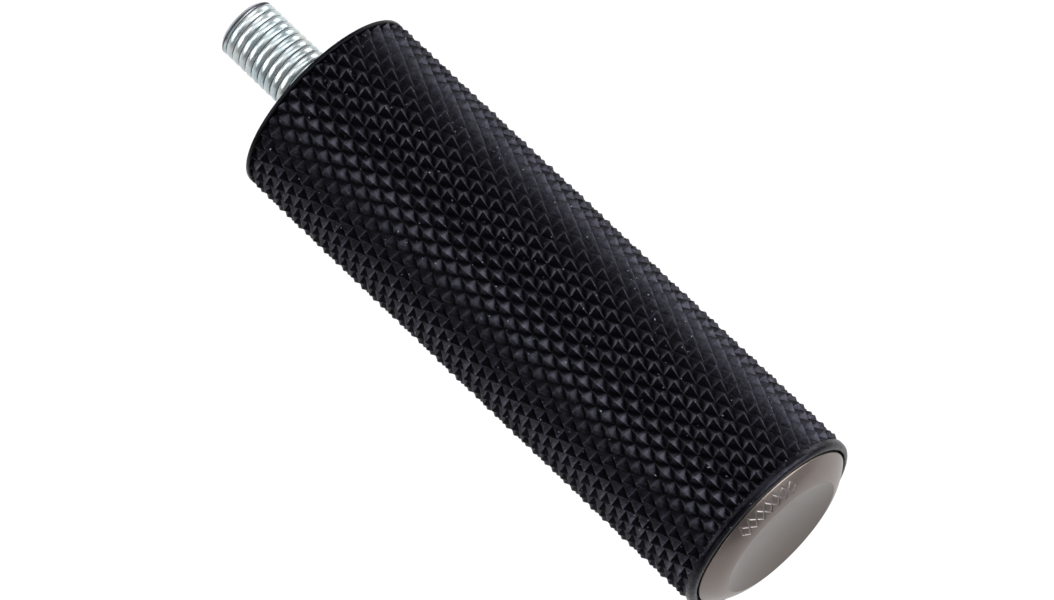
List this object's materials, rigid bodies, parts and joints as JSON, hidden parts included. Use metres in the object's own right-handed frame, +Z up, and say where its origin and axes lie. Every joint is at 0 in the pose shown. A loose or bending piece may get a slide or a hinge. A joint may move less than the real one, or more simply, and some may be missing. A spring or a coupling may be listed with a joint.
{
  "type": "motorcycle shift peg",
  "caption": "Cylindrical foot peg with a diamond-knurled rubber sleeve, a dished metal end cap and a threaded mounting bolt at the lever end.",
  "frame": {"origin": "on the peg's axis, in the plane of the seating washer's face that bears on the lever", "axes": "+X along the peg from the lever to the end cap; +Z up; the bolt's thread reaches into -X"},
  "size_m": [0.0892, 0.0254, 0.0254],
  "materials": {
    "black_rubber": "moulded, slight sheen",
    "black_anodised_aluminium": "black anodised, satin",
    "titanium_anodised_aluminium": "turned, warm grey anodised, satin",
    "black_oxide_steel": "black oxide, satin",
    "zinc_plated_steel": "bright zinc plate with a blue passivate",
    "stainless_steel": "bright stamped",
    "nitrile_rubber": "smooth moulded"
  },
  "bodies": {
    "root": {"grip_sleeve": "black_rubber", "core": "black_anodised_aluminium", "seating_washer": "black_oxide_steel", "mounting_bolt": "zinc_plated_steel", "bolt_lock_washer": "zinc_plated_steel", "bolt_flat_washer": "zinc_plated_steel", "cap_washer": "stainless_steel", "end_cap": "titanium_anodised_aluminium", "cap_o_ring": "nitrile_rubber"}
  },
  "joints": []
}
